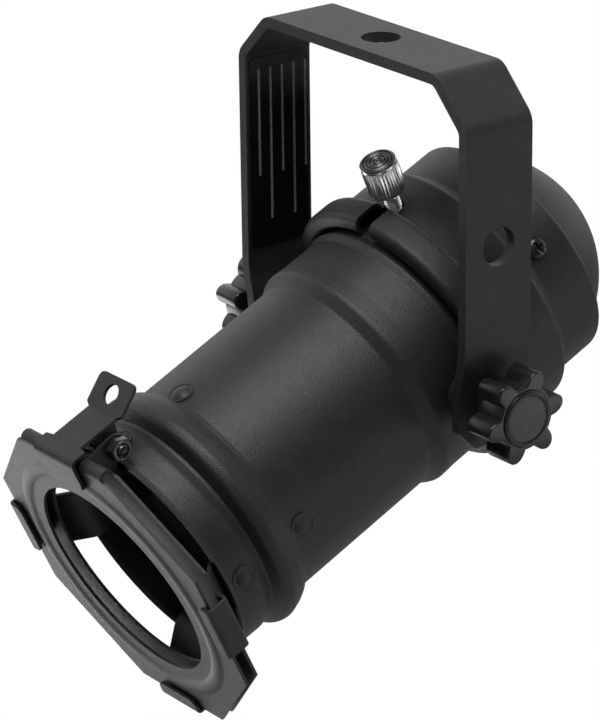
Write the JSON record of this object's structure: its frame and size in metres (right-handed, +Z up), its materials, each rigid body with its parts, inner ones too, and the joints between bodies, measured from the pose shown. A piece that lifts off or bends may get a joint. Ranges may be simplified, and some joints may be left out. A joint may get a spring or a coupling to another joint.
{
  "type": "par can light",
  "caption": "Small black par can spotlight tilting in a flat-bar yoke, with a sprung latch, a filter frame and a rear cover that slides off to change the lamp.",
  "frame": {"origin": "centre of the hole in the top face of the yoke, on that face", "axes": "+Z up, out of the yoke's top face; -Y the way the nose points; +X to the side of the leg with the side hole"},
  "size_m": [0.1106, 0.1632, 0.1568],
  "materials": {
    "black_coat": "matt black powder coat with a fine grain",
    "black_plastic": "semi-gloss black moulded plastic",
    "black_screw": "blackened steel, slightly glossy",
    "nickel": "bright nickel plate",
    "steel": "zinc-plated steel",
    "brass": "turned brass",
    "ceramic": "unglazed steatite",
    "lamp_glass": "clear glass",
    "lamp_mirror": "mirror-coated glass",
    "label": "satin black film"
  },
  "bodies": {
    "yoke": {"yoke": "black_coat", "rating_label": "label"},
    "can": {"clip_bottom": "black_coat", "clip_left": "black_coat", "clip_right": "black_coat", "filter_frame": "black_coat", "friction_washer_left": "black_plastic", "friction_washer_right": "black_plastic", "front_barrel": "black_coat", "latch_bracket": "black_coat", "latch_nut": "black_screw", "latch_pin": "black_screw", "latch_spring": "steel", "outer_washer_left": "black_screw", "outer_washer_right": "black_screw", "pivot_bolt_left": "steel", "pivot_bolt_right": "steel", "pivot_spacer_left": "black_coat", "pivot_spacer_right": "black_coat", "rivet_bottom_front": "black_coat", "rivet_bottom_rear": "black_coat", "rivet_left_front": "black_coat", "rivet_left_rear": "black_coat", "rivet_right_front": "black_coat", "rivet_right_rear": "black_coat", "rivet_top_front": "black_coat", "rivet_top_rear": "black_coat", "thumbscrew_bush": "steel"},
    "knob_left": {"knob_left": "black_plastic", "knob_insert_left": "brass", "knob_cap_left": "black_plastic"},
    "knob_right": {"knob_right": "black_plastic", "knob_insert_right": "brass", "knob_cap_right": "black_plastic"},
    "thumbscrew": {"thumbscrew": "nickel"},
    "rear": {"cable_gland": "black_plastic", "earth_screw": "steel", "gland_nut": "black_plastic", "holder_screw_lower": "steel", "holder_screw_upper": "steel", "housing_screw_1": "black_screw", "housing_screw_2": "black_screw", "housing_screw_3": "black_screw", "lamp_body": "lamp_mirror", "lamp_capsule": "lamp_glass", "lamp_carrier": "steel", "lamp_glass": "lamp_glass", "lamp_pin_left": "brass", "lamp_pin_right": "brass", "lampholder": "ceramic", "rear_housing": "black_coat", "terminal_block": "black_plastic"},
    "latch": {"latch": "black_coat"}
  },
  "joints": [
    {"name": "tilt", "type": "hinge", "parent": "yoke", "child": "can", "pos_m": [0, 0, -0.081], "axis": [1, 0, 0], "range_deg": [-70, 200]},
    {"name": "knob_left_turn", "type": "hinge", "parent": "can", "child": "knob_left", "pos_m": [-0.05, 0, -0.081], "axis": [-1, 0, 0], "continuous": true},
    {"name": "knob_right_turn", "type": "hinge", "parent": "can", "child": "knob_right", "pos_m": [0.05, 0, -0.081], "axis": [1, 0, 0], "continuous": true},
    {"name": "thumbscrew_turn", "type": "hinge", "parent": "can", "child": "thumbscrew", "pos_m": [0, 0.01631, -0.07339], "axis": [0.0785, -0.4213, 0.9035], "continuous": true},
    {"name": "rear_slide", "type": "slide", "parent": "can", "child": "rear", "axis": [0, 0.9063, 0.4226], "range_m": [0, 0.07]},
    {"name": "latch_rock", "type": "hinge", "parent": "can", "child": "latch", "pos_m": [0, -0.0844, -0.08174], "axis": [1, 0, 0], "range_deg": [-40, 0], "stiffness_Nm_per_rad": 0.02, "springref_deg": 68.75}
  ]
}
